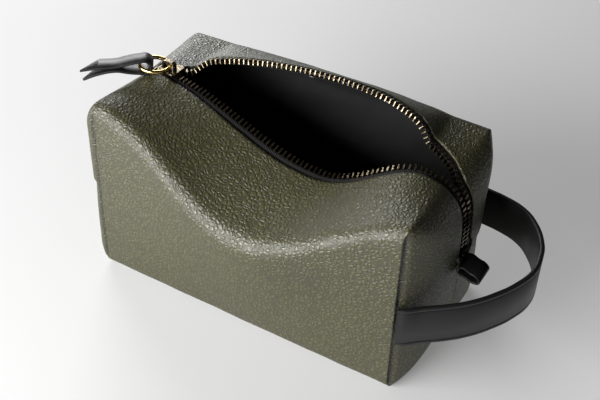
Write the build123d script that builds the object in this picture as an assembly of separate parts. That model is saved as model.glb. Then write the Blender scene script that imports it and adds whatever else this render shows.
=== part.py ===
from build123d import *

import os
from math import cos, exp, hypot, pi

# Boxed leather cosmetic bag, open, with its zip slider parked at the left end.
# Origin at the bottom centre, +X along the bag towards the carrying handle, +Y to the back, +Z up.
# Sizes in millimetres.

# Driving dimensions of the bag
LENGTH = 180.0
WIDTH = 98.0
HEIGHT = 105.0
BACK_HEIGHT = 106.0
HALF_LENGTH = LENGTH / 2
HALF_WIDTH = WIDTH / 2
END_SEAM_HEIGHT = 55.0
RIGHT_BULGE = 11.0
LEFT_BULGE = 9.0
BULGE_POWER = 6
BASE_TRIM = 0.1
FOOT_RADIUS = 5.0
FOLD_RADIUS = 7.0

# Layers of the wall, measured inwards from the outer face
LEATHER = 1.2
LAYER_GAP = 0.1
TAPE_THICKNESS = 0.5
FOAM = 2.5
LINING = 0.5
TAPE_FACE = LEATHER + LAYER_GAP
CHAIN_DEPTH = TAPE_FACE + TAPE_THICKNESS / 2
LINING_FACE = TAPE_FACE + FOAM + LAYER_GAP

# The zip
TOOTH_PITCH = 2.68
TOOTH_THICKNESS = 0.95
TOOTH_HEIGHT = 2.6
TOOTH_LEG = 1.6
TOOTH_HEAD = 1.9
CHAIN_HALF_GAP = 1.2
OPEN_HALF_GAP = 2.5
TAPE_HALF_WIDTH = 13.0
TAPE_EDGE = TOOTH_LEG + 1.0
LEATHER_EDGE = 5.5
FOAM_EDGE = TAPE_HALF_WIDTH + 1
LINING_EDGE = 5.2
ZIP_END_HEIGHT = 58.0
LIP_HEIGHT = 107.0
GAP_OPENS_OVER = 60.0

# Where the zip line starts to round over at each end, and how sharply it does
RIGHT_ROUNDING_START, RIGHT_ROUNDING = 60.0, 0.0073
LEFT_ROUNDING_START, LEFT_ROUNDING = 79.0, 0.037

# How far the soft walls have slumped: size, centre along X, reach to the left and right, power
# to the left and, where it differs, to the right
RIDGE_DROP = (37.0, 6, 98, 98, 2.1)
RIDGE_PUSH = 0.34
FRONT_LIP_SHIFT = (11.2, 22, 104, 58, 1.2)
FRONT_LIP_SAG = (18.8, 27, 102, 58, 2.3)
BACK_LIP_SHIFT = (22.3, 34, 110, 61, 0.62, 0.9)
BACK_LIP_RISE = (13.8, 5, 72.5, 67, 0.43)
SOFT_START = 0.12

# Slider, ring and strap
SLIDER_X = -75.0
PLATE = 1.2
PLATE_INNER = TOOTH_HEIGHT / 2 + 0.35
TAPE_SLOT = 0.9
BAIL_LENGTH = 7.8
BAIL_WIDTH = 2.4
BAIL_BAR = 1.0
RING_WIRE = 2.2
RING_RADIUS = 8.0
PIVOT_X = SLIDER_X - 0.65
PIVOT_LIFT = 4.25
PULL_HEADING = 216.0
RING_TILT = -4.0
STRAP_DROOP = 6.0
STRAP_WIDTH = 10.0
STRAP_THICKNESS = 1.3
STRAP_REACH = 31.0
STRAP_LOOP = 2.5

# Handle and tabs
HANDLE_WIDTH = 23.0
HANDLE_LAYER = 1.3
HANDLE_HEIGHT = 50.0
HANDLE_ROLL = 4.0
HANDLE_ROOT = HALF_WIDTH + HANDLE_LAYER + 0.5
TAB_WIDTH = 13.0
TAB_LENGTH = 13.0
TAB_HEIGHT = 5.4
TAB_LEATHER = 1.3
TAB_DROOP = 18.0
CLEARANCE = 0.3

STATIONS = (-90, -84, -78, -72, -66, -54, -34, -12, 10, 30, 50, 68, 80, 90)
DOME_SCALES = (1.0, 0.96, 0.88, 0.74, 0.5, 0.25)

parts = {}


# Shape of the slumped bag

def swell(x, size, centre, left, right, power, right_power=None):
    """The size at the centre, falling to nothing over the reach on each side, with soft ends."""
    away = (centre - x) / left if x < centre else (x - centre) / right
    if away >= 1:
        return 0.0
    share = cos(away * pi / 2)
    if x > centre and right_power:
        power = right_power
    return size * share**power * (1 - exp(-((share / SOFT_START) ** 2)))


def lip_base(x):
    """Height of the zip line before the mouth opens: it rounds over at both ends."""
    if x > 0:
        return LIP_HEIGHT - RIGHT_ROUNDING * max(0.0, x - RIGHT_ROUNDING_START) ** 2
    return LIP_HEIGHT - LEFT_ROUNDING * max(0.0, -x - LEFT_ROUNDING_START) ** 2


def half_gap(x):
    """Half the distance between the two rows before the mouth opens."""
    share = min(max((x / GAP_OPENS_OVER + 1) / 2, 0.0), 1.0)
    return CHAIN_HALF_GAP + (OPEN_HALF_GAP - CHAIN_HALF_GAP) * share


def front_lip(x):
    return -half_gap(x) - swell(x, *FRONT_LIP_SHIFT), lip_base(x) - swell(x, *FRONT_LIP_SAG)


def back_lip(x):
    return half_gap(x) + swell(x, *BACK_LIP_SHIFT), lip_base(x) + swell(x, *BACK_LIP_RISE)


def front_ridge(x):
    drop = swell(x, *RIDGE_DROP)
    return -HALF_WIDTH - RIDGE_PUSH * drop, HEIGHT - drop


def back_ridge(x):
    return HALF_WIDTH, BACK_HEIGHT


def inset_outline(points, inset):
    """Moves every side of a clockwise outline inwards and joins the sides again."""
    sides = []
    for (y0, z0), (y1, z1) in zip(points, points[1:] + points[:1]):
        run = hypot(y1 - y0, z1 - z0)
        dy, dz = (y1 - y0) / run, (z1 - z0) / run
        sides.append((y0 + dz * inset, z0 - dy * inset, dy, dz))
    corners = []
    for (ya, za, dya, dza), (yb, zb, dyb, dzb) in zip(sides[-1:] + sides[:-1], sides):
        cross = dya * dzb - dza * dyb
        along = ((yb - ya) * dzb - (zb - za) * dyb) / cross
        corners.append((ya + along * dya, za + along * dza))
    return corners


def cross_section(x, inset):
    outline = [
        (-HALF_WIDTH, -BASE_TRIM),
        front_ridge(x),
        front_lip(x),
        back_lip(x),
        back_ridge(x),
        (HALF_WIDTH, -BASE_TRIM),
    ]
    return inset_outline(outline, inset)


def width_scale(x, scale):
    """How fast an end narrows as it rounds over: the left one is barrelled, the right one drawn in."""
    return 1 - (1 - scale) ** 1.5 if x < 0 else scale**2


def section_face(x, outline, inset, scale=1.0):
    """The outline as a face across the bag, scaled about the end seam's middle."""
    across = width_scale(x, scale)
    scaled = [(y * across, END_SEAM_HEIGHT + (z - END_SEAM_HEIGHT) * scale) for y, z in outline]
    foot = max(FOOT_RADIUS - inset, 1.0) * across
    fold = max(FOLD_RADIUS - inset, 1.5) * across
    plane = Plane((x, 0, 0), x_dir=(0, 1, 0), z_dir=(1, 0, 0))
    return plane * make_face(FilletPolyline(*scaled, radius=[foot, fold, 0, 0, fold, foot], close=True))


def bulge(side, scale):
    """How far an end stands out where its section has shrunk to the scale."""
    return (LEFT_BULGE if side < 0 else RIGHT_BULGE) * (1 - scale**BULGE_POWER)


def form(inset):
    """The whole bag as one solid, its faces moved inwards by the inset and its base cut flat."""
    reach = HALF_LENGTH - inset
    sections = []
    for station in STATIONS:
        x = max(-reach, min(reach, station))
        sections.append(section_face(x, cross_section(x, inset), inset))
    body = loft(sections)
    for side in (-1, 1):
        outline = cross_section(side * reach, inset)
        dome = [
            section_face(side * (reach + bulge(side, scale)), outline, inset, scale)
            for scale in DOME_SCALES
        ]
        body += loft(dome)
    return body & Pos(0, 0, inset + HEIGHT) * Box(4 * LENGTH, 4 * WIDTH, 2 * HEIGHT)


def plan_curve(lip, offset):
    """A lip seen from above, moved away from the mouth by the offset."""
    away = -1 if lip is front_lip else 1
    places = [-130, -105, -90, *range(-84, 104, 6), 115, 130]
    return Spline(*[(x, lip(x)[0] + away * offset) for x in places])


def prism(first, second, low, high):
    """Upright block between two curves seen from above."""
    ends = [Line(first @ 0, second @ 0), Line(first @ 1, second @ 1)]
    outline = make_face([*first.edges(), ends[1], *second.edges(), ends[0]])
    return Pos(0, 0, low) * extrude(outline, high - low)


def halves(shell):
    """Cuts a shell along its middle line into its front and back piece."""
    block = Box(4 * LENGTH, WIDTH, 3 * HEIGHT)
    return shell & Pos(0, -WIDTH / 2, 0) * block, shell & Pos(0, WIDTH / 2, 0) * block


# Layers: outer leather, foam and lining, each in a front and a back panel

def open_shell(outer, inner, edge):
    """A layer between two insets, cut open along the zip."""
    mouth = prism(plan_curve(front_lip, edge), plan_curve(back_lip, edge), ZIP_END_HEIGHT, 2 * HEIGHT)
    return form(outer) - form(inner) - mouth


def add_halves(name, shell):
    parts[name.format("front")], parts[name.format("back")] = halves(shell)


add_halves("outer_{}_panel", open_shell(0, LEATHER, LEATHER_EDGE))
add_halves("padding_{}", open_shell(TAPE_FACE, TAPE_FACE + FOAM, FOAM_EDGE))
add_halves("lining_{}", open_shell(LINING_FACE, LINING_FACE + LINING, LINING_EDGE))


# Zip tapes: a band of cloth behind the leather's edge, one on each side of the mouth

tape_layer = form(TAPE_FACE) - form(TAPE_FACE + TAPE_THICKNESS)
for side, lip in (("front", front_lip), ("back", back_lip)):
    band = prism(plan_curve(lip, TAPE_EDGE), plan_curve(lip, TAPE_HALF_WIDTH), ZIP_END_HEIGHT, 2 * HEIGHT)
    parts[f"zip_tape_{side}"] = tape_layer & band


# Zip teeth: one row along each lip, at an even pitch along the chain

def chain_point(lip, ridge, x, scale=1.0):
    """Middle of the chain at one place: point and direction towards the mouth."""
    side = 1 if x > 0 else -1
    real_x = x + side * bulge(side, scale)
    (lip_y, lip_z), (ridge_y, ridge_z) = lip(x), ridge(x)
    run = hypot(lip_y - ridge_y, lip_z - ridge_z)
    dy, dz = (lip_y - ridge_y) / run, (lip_z - ridge_z) / run
    down = (dz, -dy) if lip is front_lip else (-dz, dy)
    y = lip(real_x)[0] + down[0] * CHAIN_DEPTH
    z = lip_z + down[1] * CHAIN_DEPTH
    height = END_SEAM_HEIGHT + (z - END_SEAM_HEIGHT) * scale
    return Vector(real_x, y, height), Vector(0, dy, dz)


def chain_line(lip, ridge):
    """Fine points along one row: up the left end, over the top and down the right end."""
    reach = HALF_LENGTH - CHAIN_DEPTH
    steps = [n / 60 for n in range(2, 60)]
    line = [chain_point(lip, ridge, -reach, s) for s in steps]
    line += [chain_point(lip, ridge, -reach + 2 * reach * n / 240) for n in range(241)]
    line += [chain_point(lip, ridge, reach, s) for s in reversed(steps)]
    return [(p, d) for p, d in line if p.Z > ZIP_END_HEIGHT + 1]


def places_along(line, first, pitch):
    """Planes at an even pitch along a chain line, x to the mouth and z out of the tape."""
    planes, walked, wanted = [], 0.0, first
    for (a, mouth), (b, _) in zip(line, line[1:]):
        run = (b - a).length
        while walked + run >= wanted:
            tangent = (b - a).normalized()
            inward = (mouth - tangent * mouth.dot(tangent)).normalized()
            planes.append(Plane(a + (b - a) * ((wanted - walked) / run), x_dir=inward, z_dir=inward.cross(tangent)))
            wanted += pitch
        walked += run
    return planes


def tooth():
    """One tooth seen from above: a leg on the tape and a narrower head."""
    half = TOOTH_THICKNESS / 2
    leg = [(-TOOTH_LEG, -half), (TOOTH_HEAD - 0.6, -half), (TOOTH_HEAD, -half / 2)]
    outline = leg + [(x, -y) for x, y in reversed(leg)]
    return Pos(0, 0, -TOOTH_HEIGHT / 2) * extrude(make_face(Polyline(*outline, close=True)), TOOTH_HEIGHT)


def stop():
    """Metal clip pressed over the tape's edge past the last tooth."""
    return Box(TOOTH_LEG + TOOTH_HEAD - 0.6, 2.4, TOOTH_HEIGHT + 0.4)


rows = {"front": (front_lip, front_ridge, 0.0), "back": (back_lip, back_ridge, TOOTH_PITCH / 2)}
for side, (lip, ridge, phase) in rows.items():
    planes = places_along(chain_line(lip, ridge), TOOTH_PITCH * 1.5 + phase, TOOTH_PITCH)
    parts[f"zip_teeth_{side}"] = Compound([plane * tooth() for plane in planes[:-2]])
    parts[f"zip_top_stop_{side}"] = planes[-1] * stop()


# Bottom stop: one clip over both rows at the closed end of the zip
left_line = chain_line(front_lip, front_ridge)
parts["zip_bottom_stop"] = Pos(left_line[0][0].X, 0, left_line[0][0].Z) * Box(TOOTH_HEIGHT, 5.6, 1.6)


# Slider: two plates with turned-in edges, a divider between them and a bridge on top

def slider_outline(extra):
    """Half widths of the slider's Y shape, from the narrow end to the wide end."""
    neck, shoulder, mouth = 4.1 + extra, 5.5 + extra, 5.8 + extra
    half = [(-6.0, neck - 1.2), (-5.0, neck), (-1.5, neck + 0.3), (2.0, shoulder), (4.5, mouth), (6.0, mouth - 1.8)]
    return make_face(Polyline(*half, *[(x, -y) for x, y in reversed(half)], close=True))


def slider():
    plate = extrude(slider_outline(0), PLATE)
    plate = fillet(plate.edges().group_by(Axis.Z)[-1], 0.5)
    top = Pos(0, 0, PLATE_INNER) * plate
    bottom = mirror(top, Plane.XY)
    rim = slider_outline(0) - slider_outline(-0.9)
    rim = rim & Pos(-3.5, 0) * Rectangle(11.0, 20)
    flange = extrude(rim, PLATE_INNER - TAPE_SLOT)
    flange -= Pos(-6.0, 0, 0) * Box(2.4, 7, 10)
    flange_top = Pos(0, 0, TAPE_SLOT) * flange
    divider = Pos(5.4, 0.5, 0) * Cylinder(0.6, 2 * PLATE_INNER)
    return top + bottom + flange_top + mirror(flange_top, Plane.XY) + divider


def bail():
    """Flat bridge over the slider that holds the ring."""
    base = PLATE_INNER + PLATE
    outer = Pos(-1, 0, base + 2.0) * Box(BAIL_LENGTH, BAIL_WIDTH, 4.0)
    outer = fillet(outer.edges().filter_by(Axis.Y).group_by(Axis.Z)[-1], 1.8)
    hole = Pos(-1, 0, base + 1.4) * Box(BAIL_LENGTH - 2 * BAIL_BAR, 2 * BAIL_WIDTH, 2.8)
    return outer - hole


slider_height = front_lip(SLIDER_X)[1] - CHAIN_DEPTH
seat = Pos(SLIDER_X, 0, slider_height)
parts["slider_body"] = seat * slider()
parts["slider_bridge"] = seat * bail()


# Pull: a ring in the bridge and a leather strap folded through the ring.
# Both are made lying along +X from the ring's pivot, then turned to their heading.

pivot = Pos(PIVOT_X, 0, slider_height + PIVOT_LIFT) * Rot(Z=PULL_HEADING) * Rot(Y=RING_TILT)
parts["pull_ring"] = pivot * Pos(RING_RADIUS, 0, 0) * Torus(RING_RADIUS, RING_WIRE / 2)


def pull_strap():
    """Side profile of the folded strap, with its loop round the ring's far side."""
    loop = STRAP_LOOP + STRAP_THICKNESS / 2
    upper = [(STRAP_REACH, 0.8), (10.0, 1.3), (3.5, loop), (-9.0, loop + 0.4)]
    under_ring = [(-9.0, -0.8), (-7.0, -1.0), (-3.5, -loop), (3.5, -loop)]
    lower = [(10.0, -1.3), (STRAP_REACH - 1, -3.2)]
    middle = FilletPolyline(*upper, *under_ring, *lower, radius=[6, 6, 1.6, 0.9, 2, 4, 6, 6])
    strip = extrude(Plane.XZ * trace(middle, STRAP_THICKNESS), STRAP_WIDTH / 2, both=True)
    point = Pos(STRAP_REACH - STRAP_WIDTH / 2, 0, 0) * Rot(Z=-45)
    return strip - point * Pos(STRAP_REACH, 0, 0) * Box(2 * STRAP_REACH, 4 * STRAP_REACH, STRAP_REACH)


parts["pull_strap"] = pivot * Pos(2 * RING_RADIUS, 0, 0) * Rot(Y=STRAP_DROOP) * pull_strap()


# Handle: two layers of leather in one bow, from corner seam to corner seam of the right end

def handle():
    """The inner and the outer layer: a bow seen from above, cut level by a tilted slab."""
    start, end = HALF_LENGTH + 0.6, HALF_LENGTH + 3
    front = [(start, -HANDLE_ROOT), (end, -HANDLE_ROOT + 0.1), (104, -42.5), (120, -28.5), (134, -4)]
    back = [(133, 22), (118, 43.5), (104, 48.7), (end, HANDLE_ROOT - 0.1), (start, HANDLE_ROOT)]
    path = Spline(*front, *back)
    bow = trace(path, 2 * HANDLE_LAYER) - trace(path, LAYER_GAP / 2)
    slab = Pos(0, 0, HANDLE_HEIGHT) * Rot(X=HANDLE_ROLL) * Box(4 * LENGTH, 4 * WIDTH, HANDLE_WIDTH)
    return [extrude(face, 2 * HANDLE_HEIGHT) & slab for face in bow.faces().sort_by(SortBy.AREA)]


parts["handle_inner_layer"], parts["handle_outer_layer"] = handle()


# Tabs: a short strip folded in two and sewn into the end seam, one below each end of the zip

def tab():
    loop = SlotOverall(TAB_LENGTH, TAB_HEIGHT) - SlotOverall(
        TAB_LENGTH - 2 * TAB_LEATHER, TAB_HEIGHT - 2 * TAB_LEATHER
    )
    strip = extrude(Plane.XZ * loop, TAB_WIDTH / 2, both=True)
    return Rot(Y=TAB_DROOP) * Pos(TAB_LENGTH / 2, 0, 0) * strip


right_face = HALF_LENGTH + RIGHT_BULGE + CLEARANCE
left_face = HALF_LENGTH + LEFT_BULGE + CLEARANCE
parts["end_tab_right"] = Pos(right_face, 0, END_SEAM_HEIGHT) * tab()
parts["end_tab_left"] = Pos(-left_face, 0, END_SEAM_HEIGHT) * Rot(Z=180) * tab()


os.makedirs("parts", exist_ok=True)
for name, shape in parts.items():
    export_step(shape, f"parts/{name}.step")
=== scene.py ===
from math import cos, exp, pi, radians, sin

import bmesh
import bpy
from mathutils import Matrix, Quaternion, Vector, noise


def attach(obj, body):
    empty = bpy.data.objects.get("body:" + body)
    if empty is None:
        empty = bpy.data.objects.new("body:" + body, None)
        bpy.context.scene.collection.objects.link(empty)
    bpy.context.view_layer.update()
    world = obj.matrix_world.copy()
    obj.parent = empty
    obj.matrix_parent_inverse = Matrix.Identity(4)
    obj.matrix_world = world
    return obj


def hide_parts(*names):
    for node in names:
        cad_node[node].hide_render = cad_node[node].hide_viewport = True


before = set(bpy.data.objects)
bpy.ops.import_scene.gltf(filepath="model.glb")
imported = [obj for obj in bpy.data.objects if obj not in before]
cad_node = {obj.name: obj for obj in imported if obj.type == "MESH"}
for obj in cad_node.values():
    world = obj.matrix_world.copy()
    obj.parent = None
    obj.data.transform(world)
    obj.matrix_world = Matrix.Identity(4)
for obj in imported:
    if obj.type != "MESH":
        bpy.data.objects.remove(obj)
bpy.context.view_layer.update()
bpy.context.scene.view_settings.view_transform = "Standard"


# Outer leather, front and back
# Two panels of pebbled olive leather, 1.2 mm thick, sewn together under the bag and across both
# ends, with a boxed corner seam at each upright edge. Each panel folds over its top edge to the
# zip and has slumped where the open mouth no longer holds it up.

# Pieces are drawn in millimetres, and this brings them to metres
MM = 0.001
HALF_LENGTH, HALF_WIDTH, HEIGHT, BACK_HEIGHT = 90.0, 49.0, 105.0, 106.0
LEATHER_THICKNESS, LEATHER_EDGE, LEATHER_WRINKLE = 1.2, 4.6, 0.35
FOOT_REACH, FOLD_REACH = 6.0, 8.0
PILLOW, PILLOW_POWER = 1.6, 6

# The zip's line: its height, where it starts to drop towards each end and how fast, half of its
# closed gap at the left, and how much that grows over how long a way
LIP_HEIGHT = 107.0
DROP_START, DROP = {1: 60.0, -1: 79.0}, {1: 0.0073, -1: 0.037}
LEFT_HALF_GAP, HALF_GAP_GROWTH, GAP_REACH = 1.2, 1.3, 60.0

# The slumps: size, place along the bag, reach to the left and to the right, and power of the fall
LIP_SHIFT = {-1: (11.2, 22, 104, 58, 1.2), 1: (22.3, 34, 110, 61, 0.62, 0.9)}
LIP_RISE = {-1: (-18.8, 27, 102, 58, 2.3), 1: (13.8, 5, 72.5, 67, 0.43)}
DENT, DENT_LEAN = (37.0, 6, 98, 98, 2.1), 0.34
SOFT_START = 0.12

# The ends: the reach from an upright corner to the middle, the height of the seam across, how far
# the middle bulges, and how fast the walls draw in towards it
END_REACH, END_SEAM_HEIGHT = 52.0, 55.0
END_BULGE, BULGE_POWER = {1: 11.0, -1: 9.0}, 6
RIGHT_DRAW, LEFT_DRAW = 2, 1.5

# The corners: how far from the corner a wall starts to turn, under the bag, on the wall and above
FLOOR_TURN, FLOOR_TURN_FALL, WALL_TURN, TOP_TURN_GROWTH = 6.0, 4.0, 0.5, 3.5

# The seams: their width, how much it grows for each millimetre that a sheet lies further in, their
# depth, which way the upright ones draw in, where all of them start and stop, and how far the
# leather stays back below the seam across an end
SEAM_WIDTH, SEAM_SPREAD, SEAM_DEPTH, END_SEAM_DEPTH = 0.8, 1.3, 2.6, 1.8
DRAW_ALONG, DRAW_ACROSS = 0.8, 0.6
SEAM_FOOT, FOOT_FADE, SEAM_RIDGE, RIDGE_FADE = 1.02, 0.08, 2.97, 0.1
END_SEAM_START, END_SEAM_STOP = 3.0, 8.0
END_RECESS, RECESS_START, RECESS_FADE = 1.8, 1.5, 22.0

# The layers inside: how gently the way into the bag turns at its corners, foot and ridge
CORNER_BLEND, FOOT_FROM, RIDGE_FROM, EDGE_BLEND = 3.0, 1.3, 2.7, 0.6

# The grid of a sheet: columns to each side of the middle and rows to each quarter of its height,
# the share of the columns that lies on the long wall, and how evenly the lines are spaced
LEATHER_GRID, LAYER_GRID = (100, 32), (60, 20)
WALL_SHARE, EVEN_SHARE = 0.64, 0.35

# The wrinkles: the size of the large and the small ones, how strong the small ones are, and how
# far the pattern of the back is moved from that of the front
WRINKLE_SIZE, FINE_WRINKLE_SIZE, FINE_WRINKLE, WRINKLE_SHIFT = 26, 9, 0.35, 7


def clamp(share):
    return min(max(share, 0.0), 1.0)


def smooth(share):
    """Rises from 0 to 1 with soft ends."""
    share = clamp(share)
    return share * share * (3 - 2 * share)


def swell(x, size, centre, left, right, power, right_power=None):
    """The size at the centre, falling to nothing over the reach on each side, with soft ends."""
    away = (centre - x) / left if x < centre else (x - centre) / right
    if away >= 1:
        return 0.0
    share = cos(away * pi / 2)
    if x > centre and right_power:
        power = right_power
    return size * share**power * (1 - exp(-((share / SOFT_START) ** 2)))


def lip_base(x):
    """The height of the zip's line before it slumps."""
    end = 1 if x > 0 else -1
    return LIP_HEIGHT - DROP[end] * max(0.0, end * x - DROP_START[end]) ** 2


def half_gap(x):
    return LEFT_HALF_GAP + HALF_GAP_GROWTH * clamp((x / GAP_REACH + 1) / 2)


def lip(side, x):
    """Where the zip line runs across the bag: the front one sags, the back one stands up."""
    shift, rise = swell(x, *LIP_SHIFT[side]), swell(x, *LIP_RISE[side])
    return Vector((side * (half_gap(x) + shift), lip_base(x) + rise))


def ridge(side, x):
    """Where the panel folds over its top edge: the front one has a deep dent."""
    if side > 0:
        return Vector((HALF_WIDTH, BACK_HEIGHT))
    drop = swell(x, *DENT)
    return Vector((-HALF_WIDTH - DENT_LEAN * drop, HEIGHT - drop))


def turned(start, corner, end, step):
    """A point on the round turn, from start to end, that takes the place of a corner."""
    return start * (1 - step) ** 2 + corner * 2 * step * (1 - step) + end * step**2


def outline_point(side, x, place, edge):
    """A point of the outline across the bag. The place is 0 under the middle, 1 at the foot, 2 at
    the height of the end seam, 3 at the ridge and 4 at the edge along the zip."""
    top, zip_line = ridge(side, x), lip(side, x)
    foot = Vector((side * HALF_WIDTH, 0))
    middle = foot.lerp(top, END_SEAM_HEIGHT / top.y)
    run = abs(top.x) - abs(zip_line.x)
    corners = [Vector((0, 0)), foot, middle, top, top.lerp(zip_line, (run - edge) / run)]
    n = min(int(place), 3)
    point = corners[n].lerp(corners[n + 1], place - n)
    for corner, reach in ((1, FOOT_REACH), (3, FOLD_REACH)):
        away = (point - corners[corner]).length
        if away < reach and n in (corner - 1, corner):
            step = (reach + (away if place > corner else -away)) / (2 * reach)
            start = corners[corner] + (corners[corner - 1] - corners[corner]).normalized() * reach
            end = corners[corner] + (corners[corner + 1] - corners[corner]).normalized() * reach
            point = turned(start, corners[corner], end, step)
    return point


def wall_point(side, end, away, place, edge, firm):
    """A point of the wall. How far it is away from the bag's upright corner is below 0 along the
    bag and above 0 on its end.

    On the end the walls draw in towards the seam, but their upper edges keep to the zip's line. A
    firm sheet, like the tape, keeps its width there too."""
    if away <= 0:
        x = end * (HALF_LENGTH + away)
        across = outline_point(side, x, place, edge)
        pillow = 0.0
        if 1 < place < 3:
            fullness = 1 - (1 + away / HALF_LENGTH) ** PILLOW_POWER
            pillow = PILLOW * sin(pi * (place - 1) / 2) * fullness
        return Vector((x, across.x + side * pillow, across.y))
    scale = 1 - away / END_REACH
    corner = end * HALF_LENGTH
    across = outline_point(side, corner, place, edge)
    drawn_in = scale**RIGHT_DRAW if end > 0 else 1 - (1 - scale) ** LEFT_DRAW
    drawn_in = firm + (1 - firm) * drawn_in
    edge_y = outline_point(side, corner, 4, edge).x
    zip_x = corner + end * END_BULGE[end] * (1 - scale**BULGE_POWER)
    zip_y = edge_y + lip(side, zip_x).x - lip(side, corner).x
    held = smooth(place - 2)
    y = across.x * drawn_in * (1 - held) + (zip_y + (across.x - edge_y) * drawn_in) * held
    z = END_SEAM_HEIGHT + (across.y - END_SEAM_HEIGHT) * scale
    return Vector((zip_x, y, z))


def panel_point(side, end, away, place, edge, firm, width):
    """The wall with its corners turned and its seams drawn in, and how deep in a seam it is, which also
    sets the painted shade in the seam.
    """
    if place < 1:
        turn = FLOOR_TURN - FLOOR_TURN_FALL * place
    else:
        turn = WALL_TURN + TOP_TURN_GROWTH * max(0.0, place - 3)
    if abs(away) < turn:
        ways = (-turn, 0.0, turn)
        start, corner, far = (wall_point(side, end, way, place, edge, firm) for way in ways)
        point = turned(start, corner, far, (turn + away) / (2 * turn))
    else:
        point = wall_point(side, end, away, place, edge, firm)
    upright = clamp((place - SEAM_FOOT) / FOOT_FADE) * clamp((SEAM_RIDGE - place) / RIDGE_FADE)
    seam = upright * exp(-((away / width) ** 2))
    point += Vector((-end * DRAW_ALONG, -side * DRAW_ACROSS, 0)) * SEAM_DEPTH * seam
    if away > 0:
        below = END_SEAM_HEIGHT - point.z
        sewn = clamp(away / END_SEAM_START) * clamp((END_REACH - away) / END_SEAM_STOP)
        across_end = exp(-((below / width) ** 2)) * sewn
        point.x -= end * END_SEAM_DEPTH * across_end
        if below > 0:
            recess = END_RECESS * clamp(below / RECESS_START) * exp(-below / RECESS_FADE)
            point.x -= end * recess * sewn
        seam = max(seam, across_end)
    return point, seam


def inward(side, end, away, place):
    """The way from the wall into the bag, turning gently at its edges."""
    on_end = smooth((away + CORNER_BLEND) / (2 * CORNER_BLEND))
    over = smooth((place - RIDGE_FROM) / EDGE_BLEND)
    under = smooth((FOOT_FROM - place) / EDGE_BLEND)
    scale = min(1.0, 1 - away / END_REACH)
    return Vector((-end * on_end, -side * (1 - over - under) * scale, (under - over) * scale))


def gather(share):
    """Grid lines that lie closer together near a seam."""
    return EVEN_SHARE * share + (1 - EVEN_SHARE) * share**2


def add_object(name, data):
    made = bpy.data.objects.new(name, data)
    bpy.context.scene.collection.objects.link(made)
    return made


def make_piece(name, bm):
    """Turns what was drawn in millimetres into a smooth mesh of the scene, in metres."""
    bmesh.ops.scale(bm, vec=(MM, MM, MM), verts=bm.verts)
    mesh = bpy.data.meshes.new(name)
    bm.to_mesh(mesh)
    bm.free()
    mesh.shade_smooth()
    return add_object(name, mesh)


def panel(name, side, edge, grid, inset, wrinkle, lowest=0.0, highest=4.0, reach=END_REACH, firm=0.0):
    """A sheet over one half of the bag, or over its top strip, as a grid laid on the walls. A sheet
    that lies deeper follows the seams more softly."""
    columns, rows = grid
    bm = bmesh.new()
    bmesh.ops.create_grid(bm, x_segments=2 * columns, y_segments=4 * rows, size=1.0)
    # Each point keeps how deep it lies in a seam as its seam value; the leather's material darkens the
    # seams with it as painted shade.
    seams = bm.verts.layers.float.new("seam")
    corner = round(WALL_SHARE * columns) / columns
    width = SEAM_WIDTH + SEAM_SPREAD * inset
    for v in bm.verts:
        along, place = v.co.x, lowest + (highest - lowest) * (v.co.y + 1) / 2
        end = 1 if along > 0 else -1
        if abs(along) <= corner:
            away = -HALF_LENGTH * gather((corner - abs(along)) / corner)
        else:
            away = reach * gather((abs(along) - corner) / (1 - corner))
        if 1 < place < 3:
            place = 2 + (1 if place > 2 else -1) * gather(abs(place - 2))
        v.co, v[seams] = panel_point(side, end, away, place, edge, firm, width)
        v.co += inward(side, end, away, place) * inset
    if side > 0:
        bmesh.ops.reverse_faces(bm, faces=bm.faces)
    bm.normal_update()
    shift = Vector((side * WRINKLE_SHIFT, 0, 0))
    for v in bm.verts:
        fold = noise.noise(v.co / WRINKLE_SIZE + shift)
        fold += FINE_WRINKLE * noise.noise(v.co / FINE_WRINKLE_SIZE)
        v.co += v.normal * wrinkle * fold
    bmesh.ops.remove_doubles(bm, verts=bm.verts, dist=0.01)
    return make_piece(name, bm)


def thicken(sheet, thickness, offset=-1):
    """Gives a sheet its thickness, into the bag, or with an offset of 0 half to each side."""
    wall = sheet.modifiers.new("thickness", "SOLIDIFY")
    wall.thickness, wall.offset = thickness * MM, offset


def new_material(name):
    """A material, its shader, a function that adds a node and one that links two sockets.

    Each socket of an added node is given by its name, or by its number after an i, with the value
    or the other socket that it takes."""
    made = bpy.data.materials.new(name)
    made.use_nodes = True
    tree = made.node_tree
    shader = tree.nodes["Principled BSDF"]

    def add(kind, settings=(), **sockets):
        node = tree.nodes.new("ShaderNode" + kind)
        for key, value in settings:
            setattr(node, key, value)
        for key, value in sockets.items():
            by_number = key[0] == "i" and key[1:].isdigit()
            socket = node.inputs[int(key[1:]) if by_number else key]
            if isinstance(value, bpy.types.NodeSocket):
                tree.links.new(value, socket)
            else:
                socket.default_value = value
        return node

    return made, shader, add, tree.links.new


def spread(add, value, low, high):
    """Spreads a value from 0 to 1 over the range from low to high."""
    node = add("MapRange", Value=value)
    node.inputs["To Min"].default_value, node.inputs["To Max"].default_value = low, high
    return node.outputs[0]


def two_tone(add, share, first, second):
    """Goes from the first colour to the second as the share goes from 0 to 1."""
    mix = add("Mix", [("data_type", "RGBA")], i0=share, i6=(*first, 1), i7=(*second, 1))
    return mix.outputs[2]


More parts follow.
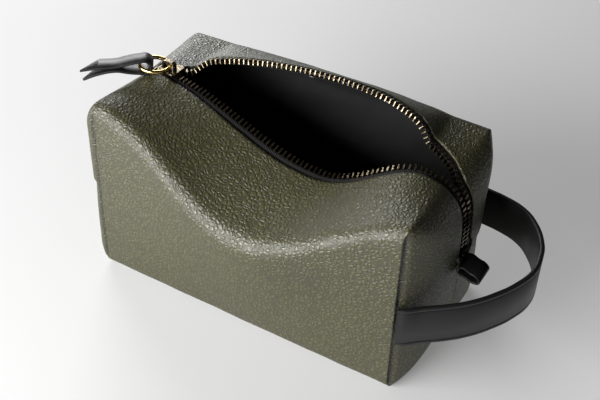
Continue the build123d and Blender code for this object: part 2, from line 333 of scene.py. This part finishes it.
def pebbled_leather(name, colour, valley_colour, grain, depth):
    """Grained leather: rounded pebbles of uneven size with narrow dark valleys between them, and
    painted shade darkening the seams.
    """
    made, shader, add, link = new_material(name)
    to_edge, multiply_add = [("feature", "DISTANCE_TO_EDGE")], [("operation", "MULTIPLY_ADD")]
    where = add("TexCoord").outputs["Object"]
    warp = add("TexNoise", Vector=where, Scale=260.0, Detail=2.0)
    moved = add("VectorMath", multiply_add, i0=warp.outputs["Color"], i1=(grain,) * 3, i2=where)
    cells = add("TexVoronoi", to_edge, Vector=moved.outputs[0], Scale=1 / grain).outputs["Distance"]
    pebble = add("MapRange", [("interpolation_type", "SMOOTHSTEP")], Value=cells)
    pebble.inputs["From Max"].default_value = 0.36
    pores = add("TexNoise", Vector=where, Scale=2.2 / grain, Detail=3.0, Roughness=0.6)
    height = add("Math", multiply_add, i0=pores.outputs["Fac"], i1=0.5, i2=pebble.outputs[0])
    patch = add("TexNoise", Vector=where, Scale=28.0, Detail=3.0)
    tone = spread(add, patch.outputs["Fac"], 0.85, 1.15)
    base = two_tone(add, pebble.outputs[0], valley_colour, colour)
    # Painted shade: the colour is darkened by up to 90 % where the mesh's seam value says that a point
    # lies deep in a seam groove.
    painted_seam_shade = add("Attribute", [("attribute_name", "seam")])
    shade = add("Math", multiply_add, i0=painted_seam_shade.outputs["Fac"], i1=-0.9, i2=1.0)
    tone_and_painted_seam_shade = add("Math", [("operation", "MULTIPLY")], i0=tone, i1=shade.outputs[0])
    toned = add("VectorMath", [("operation", "SCALE")], i0=base, Scale=tone_and_painted_seam_shade.outputs[0])
    link(toned.outputs[0], shader.inputs["Base Color"])
    link(spread(add, height.outputs[0], 0.6, 0.4), shader.inputs["Roughness"])
    shader.inputs["Specular IOR Level"].default_value = 0.9
    bump = add("Bump", Height=height.outputs[0], Strength=1.0, Distance=depth)
    link(bump.outputs[0], shader.inputs["Normal"])
    return made


OLIVE, OLIVE_VALLEY = (0.072, 0.069, 0.022), (0.036, 0.034, 0.011)
PEBBLE_SIZE, PEBBLE_DEPTH = 0.0022, 0.00023

olive_leather = pebbled_leather("olive_leather", OLIVE, OLIVE_VALLEY, PEBBLE_SIZE, PEBBLE_DEPTH)
for side, word in ((-1, "front"), (1, "back")):
    leather = panel("leather_" + word, side, LEATHER_EDGE, LEATHER_GRID, 0.0, LEATHER_WRINKLE)
    thicken(leather, LEATHER_THICKNESS)
    leather.data.materials.append(olive_leather)
    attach(leather, "bag")
    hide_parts(f"outer_{word}_panel")


# Padding
# A sheet of soft white foam between the leather and the lining holds the walls up. It is closed
# in on every side and shows only where the bag is taken apart.

FOAM_INSET, FOAM_THICKNESS, FOAM_WRINKLE = 1.5, 2.1, 0.3
# It stops short of the zip, and 6 mm short of the middle of each end
FOAM_SIZE = {"highest": 3.7, "reach": END_REACH - 6}

padding, shader, add, link = new_material("padding_foam")
cells = add("TexVoronoi", Vector=add("TexCoord").outputs["Object"], Scale=1400.0).outputs["Distance"]
link(spread(add, cells, 0.5, 0.68), shader.inputs["Base Color"])
link(add("Bump", Height=cells, Distance=0.0003).outputs[0], shader.inputs["Normal"])
shader.inputs["Roughness"].default_value = 0.95
for side, word in ((-1, "front"), (1, "back")):
    foam = panel("foam_" + word, side, LEATHER_EDGE, LAYER_GRID, FOAM_INSET, FOAM_WRINKLE, **FOAM_SIZE)
    thicken(foam, FOAM_THICKNESS)
    foam.data.materials.append(padding)
    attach(foam, "bag")
    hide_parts("padding_" + word)


# Lining
# Plain black cloth, half a millimetre thick, hangs a little slack inside the padding. Its upper
# edge is sewn to the zip tapes just below the teeth.

LINING_INSET, LINING_EDGE, LINING_THICKNESS, LINING_WRINKLE = 4.1, 4.4, 0.5, 0.9
LINING_SIZE = {"reach": END_REACH - 2}

lining_cloth, shader, add, link = new_material("lining_cloth")
where = add("TexCoord").outputs["Object"]
weave = add("TexWave", [("bands_direction", "DIAGONAL")], Vector=where, Scale=1100.0, Distortion=0.6)
creases = add("TexNoise", Vector=where, Scale=24.0, Detail=4.0).outputs["Fac"]
link(spread(add, creases, 0.002, 0.007), shader.inputs["Base Color"])
soft = add("Bump", Height=creases, Strength=0.5, Distance=0.004).outputs[0]
woven = add("Bump", Height=weave.outputs["Fac"], Strength=0.5, Distance=0.0001, Normal=soft)
link(woven.outputs[0], shader.inputs["Normal"])
shader.inputs["Roughness"].default_value = 0.7
shader.inputs["Specular IOR Level"].default_value = 0.25
for side, word in ((-1, "front"), (1, "back")):
    name = "lining_sheet_" + word
    cloth = panel(name, side, LINING_EDGE, LAYER_GRID, LINING_INSET, LINING_WRINKLE, **LINING_SIZE)
    thicken(cloth, LINING_THICKNESS)
    cloth.data.materials.append(lining_cloth)
    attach(cloth, "bag")
    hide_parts("lining_" + word)


# Zip tapes
# Woven black tape runs along each side of the mouth, sewn behind the leather's turned edge, and
# carries the teeth on the corded edge that faces the mouth.

TAPE_INSET, TAPE_THICKNESS, TAPE_EDGE = 1.5, 0.5, 0.5
# A narrow strip next to the zip, which keeps its width round the ends
TAPE_GRID, TAPE_SIZE = (90, 2), {"lowest": 3.74, "reach": 48.5, "firm": 1.0}

tape_cloth, shader, add, link = new_material("tape_cloth")
where = add("TexCoord").outputs["Object"]
rib = add("TexWave", [("bands_direction", "DIAGONAL")], Vector=where, Scale=420.0).outputs["Fac"]
link(spread(add, rib, 0.006, 0.016), shader.inputs["Base Color"])
link(add("Bump", Height=rib, Strength=0.7, Distance=0.0002).outputs[0], shader.inputs["Normal"])
shader.inputs["Roughness"].default_value = 0.75
for side, word in ((-1, "front"), (1, "back")):
    tape = panel("tape_" + word, side, TAPE_EDGE, TAPE_GRID, TAPE_INSET, 0.0, **TAPE_SIZE)
    thicken(tape, TAPE_THICKNESS, offset=0)
    tape.data.materials.append(tape_cloth)
    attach(tape, "bag")
    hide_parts("zip_tape_" + word)


# Zip teeth and stops
# Cast brass teeth, about a hundred to a row, are pressed over the corded edges of the tapes and
# have been darkened so that only their rubbed edges stay bright. Stops close both ends.

DARK_BRASS, RUBBED_BRASS = (0.07, 0.055, 0.035), (0.32, 0.26, 0.17)


def coat(names, material):
    """Gives solids of the CAD part their material."""
    for name in names:
        cad_node[name].data.materials.clear()
        cad_node[name].data.materials.append(material)


antique_brass, shader, add, link = new_material("antique_brass")
age = add("TexNoise", Vector=add("TexCoord").outputs["Object"], Scale=900.0, Detail=4.0).outputs["Fac"]
worn = add("MapRange", [("interpolation_type", "SMOOTHSTEP")], Value=age)
worn.inputs["From Min"].default_value, worn.inputs["From Max"].default_value = 0.4, 0.62
link(two_tone(add, worn.outputs[0], DARK_BRASS, RUBBED_BRASS), shader.inputs["Base Color"])
shader.inputs["Metallic"].default_value = 1.0
link(spread(add, age, 0.42, 0.24), shader.inputs["Roughness"])
link(add("Bump", Height=age, Strength=0.3, Distance=0.0001).outputs[0], shader.inputs["Normal"])
coat(("zip_teeth_front", "zip_teeth_back"), antique_brass)
coat(("zip_top_stop_front", "zip_top_stop_back", "zip_bottom_stop"), antique_brass)


# Slider
# A die-cast slider in the same dark brass as the teeth, parked at the left end of the mouth. Its
# bridge holds the ring of the pull.

coat(("slider_body", "slider_bridge"), antique_brass)


# Ring
# A round ring of polished gold-coloured wire joins the slider's bridge to the leather pull.

DEEP_GOLD, PALE_GOLD = (0.72, 0.5, 0.16), (0.9, 0.72, 0.34)

gold_brass, shader, add, link = new_material("gold_brass")
rub = add("TexNoise", Vector=add("TexCoord").outputs["Object"], Scale=700.0, Detail=3.0).outputs["Fac"]
link(two_tone(add, rub, DEEP_GOLD, PALE_GOLD), shader.inputs["Base Color"])
shader.inputs["Metallic"].default_value = 1.0
link(spread(add, rub, 0.12, 0.26), shader.inputs["Roughness"])
coat(("pull_ring",), gold_brass)


# Leather pull
# A strip of smooth black leather goes through the ring, is folded back on itself and ends in two
# slanting tips, the upper one a little longer than the lower one.

RING_RADIUS = 8.0
PULL_HEADING, RING_TILT, STRAP_DROOP = 216.0, -4.0, 6.0
PIVOT = Vector((-75.65, 0.0, 109.7))
STRAP_WIDTH, STRAP_THICKNESS, STRAP_LENGTH, STRAP_ROUNDING = 10.0, 1.3, 31.0, 0.25
LINE_WIDTH, SHARP_ANGLE = 0.35, radians(50)
BLACK, SATIN = 0.009, 0.45


def smooth_black(name, colour, dull_value):
    """Smooth black leather with a very fine grain and a satin finish."""
    made, shader, add, link = new_material(name)
    where = add("TexCoord").outputs["Object"]
    pores = add("TexVoronoi", [("feature", "DISTANCE_TO_EDGE")], Vector=where, Scale=1500.0)
    cloudy = add("TexNoise", Vector=where, Scale=60.0, Detail=4.0).outputs["Fac"]
    link(spread(add, cloudy, colour * 0.75, colour * 1.3), shader.inputs["Base Color"])
    link(spread(add, cloudy, dull_value - 0.07, dull_value + 0.07), shader.inputs["Roughness"])
    fine = add("Bump", Height=pores.outputs["Distance"], Strength=0.35, Distance=0.0001)
    link(fine.outputs[0], shader.inputs["Normal"])
    return made


def smooth_path(points, steps):
    """Points evenly along a smooth curve through the given ones."""
    curve = bpy.data.curves.new("path", "CURVE")
    curve.dimensions, curve.resolution_u = "3D", steps
    spline = curve.splines.new("BEZIER")
    spline.bezier_points.add(len(points) - 1)
    for knot, place in zip(spline.bezier_points, points):
        knot.co, knot.handle_left_type, knot.handle_right_type = place, "AUTO", "AUTO"
    holder = bpy.data.objects.new("path", curve)
    mesh = bpy.data.meshes.new_from_object(holder)
    places = [v.co.copy() for v in mesh.vertices]
    bpy.data.objects.remove(holder)
    bpy.data.curves.remove(curve)
    bpy.data.meshes.remove(mesh)
    return places


def strip(path, width, thickness, upright, rounding, line=None):
    """A leather strip along a path: its section is drawn once and extruded from place to place. It
    may have a line pressed into its outer face, at a distance from each edge."""
    bm = bmesh.new()
    w, t = width / 2, thickness / 2
    section = [(-w + rounding, -t), (w - rounding, -t), (w, -t + rounding), (w, t - rounding)]
    section += [(w - rounding, t)]
    if line:
        for middle in (w - line, line - w):
            section += [(middle + LINE_WIDTH, t), (middle, t - LINE_WIDTH), (middle - LINE_WIDTH, t)]
    section += [(-w + rounding, t), (-w, t - rounding), (-w, -t + rounding)]

    def frame_at(n):
        ahead = (path[min(n + 1, len(path) - 1)] - path[max(n - 1, 0)]).normalized()
        outward = ahead.cross(upright).normalized()
        along = outward.cross(ahead).normalized()
        return Matrix.Translation(path[n]) @ Matrix((along, outward, ahead)).transposed().to_4x4()

    ring = [bm.verts.new(frame_at(0) @ Vector((a, b, 0))) for a, b in section]
    edges = [bm.edges.new((a, b)) for a, b in zip(ring, ring[1:] + ring[:1])]
    bmesh.ops.contextual_create(bm, geom=edges)
    for n in range(1, len(path)):
        made = bmesh.ops.extrude_edge_only(bm, edges=edges)["geom"]
        verts = [g for g in made if isinstance(g, bmesh.types.BMVert)]
        edges = [g for g in made if isinstance(g, bmesh.types.BMEdge)]
        bmesh.ops.transform(bm, matrix=frame_at(n) @ frame_at(n - 1).inverted(), verts=verts)
    bmesh.ops.contextual_create(bm, geom=edges)
    bmesh.ops.recalc_face_normals(bm, faces=bm.faces)
    return bm


def finish_piece(name, bm, material, body, slot, *replaced):
    """Turns what was drawn in millimetres into a finished piece of the object."""
    made = make_piece(name, bm)
    made.data.set_sharp_from_angle(angle=SHARP_ANGLE)
    made.data.materials.append(material)
    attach(made, body)
    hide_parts(*replaced)


black_leather = smooth_black("black_leather", BLACK, SATIN)
turn_to_pull = Matrix.Translation(PIVOT) @ Matrix.Rotation(radians(PULL_HEADING), 4, "Z")
turn_to_pull = turn_to_pull @ Matrix.Rotation(radians(RING_TILT), 4, "Y")
turn_to_pull = turn_to_pull @ Matrix.Translation((2 * RING_RADIUS, 0, 0))
turn_to_pull = turn_to_pull @ Matrix.Rotation(radians(STRAP_DROOP), 4, "Y")
upper = [(STRAP_LENGTH, 0, 0.2), (22, 0, 1.0), (12, 0, 1.2), (6.5, 0, 2.4), (1, 0, 3.3), (-4.5, 0, 3.2)]
lower = [(-4.5, 0, -3.2), (1, 0, -3.2), (6.5, 0, -2.4), (12, 0, -1.3), (22, 0, -2.6)]
lower += [(STRAP_LENGTH - 1, 0, -5.2)]
folded = smooth_path([*upper, (-6.6, 0, 0), *lower], steps=8)
bm = strip(folded, STRAP_WIDTH, STRAP_THICKNESS, Vector((0, 1, 0)), STRAP_ROUNDING)
whole = bm.verts[:] + bm.edges[:] + bm.faces[:]
cut_from = Vector((STRAP_LENGTH - STRAP_WIDTH / 2, 0, 0))
bmesh.ops.bisect_plane(bm, geom=whole, plane_co=cut_from, plane_no=(1, -1, 0), clear_outer=True)
bmesh.ops.holes_fill(bm, edges=[e for e in bm.edges if e.is_boundary])
bmesh.ops.transform(bm, matrix=turn_to_pull, verts=bm.verts)
finish_piece("leather_pull", bm, black_leather, "strap", "black_leather", "pull_strap")


# Handle
# Two layers of smooth black leather, sewn together along both edges with the edges painted over,
# make a flat bow from one upright corner seam to the other. A line is pressed in near each edge.

HANDLE_WIDTH, HANDLE_LAYER, HANDLE_ROUNDING, HANDLE_LINE = 23.0, 1.25, 0.45, 1.9
HANDLE_HEIGHT, HANDLE_RISE = 50.0, 0.07

bow = [(90.6, -50.6), (94, -49.0), (100, -43.9), (108.8, -37.2), (117.4, -29.3), (126.3, -17.6)]
bow += [(132.5, -6.0), (135.7, 5.4), (134.8, 17.4), (131.9, 26.2), (123.5, 38.5), (114.8, 45.4)]
bow += [(102.6, 49.2), (95, 50.2), (90.6, 50.6)]
bow = smooth_path([(x, y, HANDLE_HEIGHT + HANDLE_RISE * y) for x, y in bow], steps=8)
bm = strip(bow, HANDLE_WIDTH, 2 * HANDLE_LAYER, Vector((0, 0, 1)), HANDLE_ROUNDING, HANDLE_LINE)
layers = ("handle_outer_layer", "handle_inner_layer")
finish_piece("handle_bow", bm, black_leather, "handle", "black_leather", *layers)


# End tabs
# A short strip of the same black leather is folded into a loop and caught in each end seam, just
# below the end of the zip, to hold on to while zipping.

TAB_WIDTH, TAB_LENGTH, TAB_HEIGHT, TAB_DROOP = 13.0, 13.0, 5.4, 18.0
TAB_THICKNESS, TAB_ROUNDING, TAB_CLEARANCE = 1.3, 0.3, 0.3

reach, rise = TAB_LENGTH - TAB_HEIGHT / 2, (TAB_HEIGHT - TAB_THICKNESS) / 2
loop = [(0.3, 0, -0.5), (1.5, 0, -rise), (6, 0, -rise), (reach, 0, -rise), (reach + rise, 0, 0)]
loop += [(reach, 0, rise), (6, 0, rise), (1.5, 0, rise), (0.3, 0, 0.5)]
for end, word in ((1, "right"), (-1, "left")):
    path = smooth_path(loop, steps=6)
    bm = strip(path, TAB_WIDTH, TAB_THICKNESS, Vector((0, 1, 0)), TAB_ROUNDING)
    bmesh.ops.rotate(bm, matrix=Matrix.Rotation(radians(TAB_DROOP), 3, "Y"), verts=bm.verts)
    if end < 0:
        bmesh.ops.rotate(bm, matrix=Matrix.Rotation(pi, 3, "Z"), verts=bm.verts)
    start = end * (HALF_LENGTH + END_BULGE[end] + TAB_CLEARANCE)
    bmesh.ops.translate(bm, vec=(start, 0, END_SEAM_HEIGHT), verts=bm.verts)
    name = "tab_loop_" + word
    finish_piece(name, bm, black_leather, "tab_" + word, "black_leather", "end_tab_" + word)


# Floor, light and camera
# The bag stands on a plain pale table. A wide window in front of it to the left and a smaller one
# behind it to the left make the table bright on the left and greyer towards the right.

TABLE_REACH, TABLE_GLOW, ROOM_LIGHT = 4.0, 0.2, 0.04
LIT_SPOT = Vector((0, 0, 0.03))
# Each window: where it is, how wide and high it is, in metres, and its light in watts
WINDOWS = {
    "side_window": ((-0.38, -0.78, 0.34), 1.0, 0.4, 17.0),
    "far_window": ((-0.95, 0.78, 0.5), 0.7, 0.5, 10.0),
}
CAMERA_AZIMUTH, CAMERA_ELEVATION, CAMERA_ROLL = radians(29.53), radians(37.63), radians(2.24)
CAMERA_DISTANCE, FOCAL_LENGTH, FILM_WIDTH = 556.07, 60.0, 36.0
LOOK_AT = Vector((-1.18, 14.68, 41.0))

paper, shader, add, link = new_material("table_top")
mottle = add("TexNoise", Vector=add("TexCoord").outputs["Object"], Scale=3.0, Detail=3.0)
link(spread(add, mottle.outputs["Fac"], 0.64, 0.68), shader.inputs["Base Color"])
shader.inputs["Roughness"].default_value = 0.8
shader.inputs["Emission Color"].default_value = (1, 1, 1, 1)
rays = add("LightPath").outputs
seen = add("Math", [("operation", "MAXIMUM")], i0=rays["Is Camera Ray"], i1=rays["Is Glossy Ray"])
glow = add("Math", [("operation", "MULTIPLY")], i0=seen.outputs[0], i1=TABLE_GLOW)
link(glow.outputs[0], shader.inputs["Emission Strength"])
bm = bmesh.new()
bmesh.ops.create_grid(bm, x_segments=8, y_segments=8, size=TABLE_REACH)
mesh = bpy.data.meshes.new("table")
bm.to_mesh(mesh)
bm.free()
mesh.materials.append(paper)
table = add_object("table", mesh)

for name, (place, across, high, watts) in WINDOWS.items():
    lamp = bpy.data.lights.new(name, "AREA")
    lamp.shape, lamp.size, lamp.size_y, lamp.energy = "RECTANGLE", across, high, watts
    window = add_object(name, lamp)
    window.location = place
    window.rotation_mode = "QUATERNION"
    window.rotation_quaternion = (LIT_SPOT - Vector(place)).to_track_quat("-Z", "Y")

world = bpy.data.worlds.new("room")
world.use_nodes = True
world.node_tree.nodes["Background"].inputs["Color"].default_value = (1, 1, 1, 1)
world.node_tree.nodes["Background"].inputs["Strength"].default_value = ROOM_LIGHT
bpy.context.scene.world = world

view = bpy.data.cameras.new("camera")
view.lens, view.sensor_width = FOCAL_LENGTH, FILM_WIDTH
level = cos(CAMERA_ELEVATION)
back = Vector((sin(CAMERA_AZIMUTH) * level, -cos(CAMERA_AZIMUTH) * level, sin(CAMERA_ELEVATION)))
camera = add_object("camera", view)
camera.location = (LOOK_AT + back * CAMERA_DISTANCE) * MM
camera.rotation_mode = "QUATERNION"
camera.rotation_quaternion = (-back).to_track_quat("-Z", "Y") @ Quaternion((0, 0, 1), CAMERA_ROLL)
bpy.context.scene.camera = camera
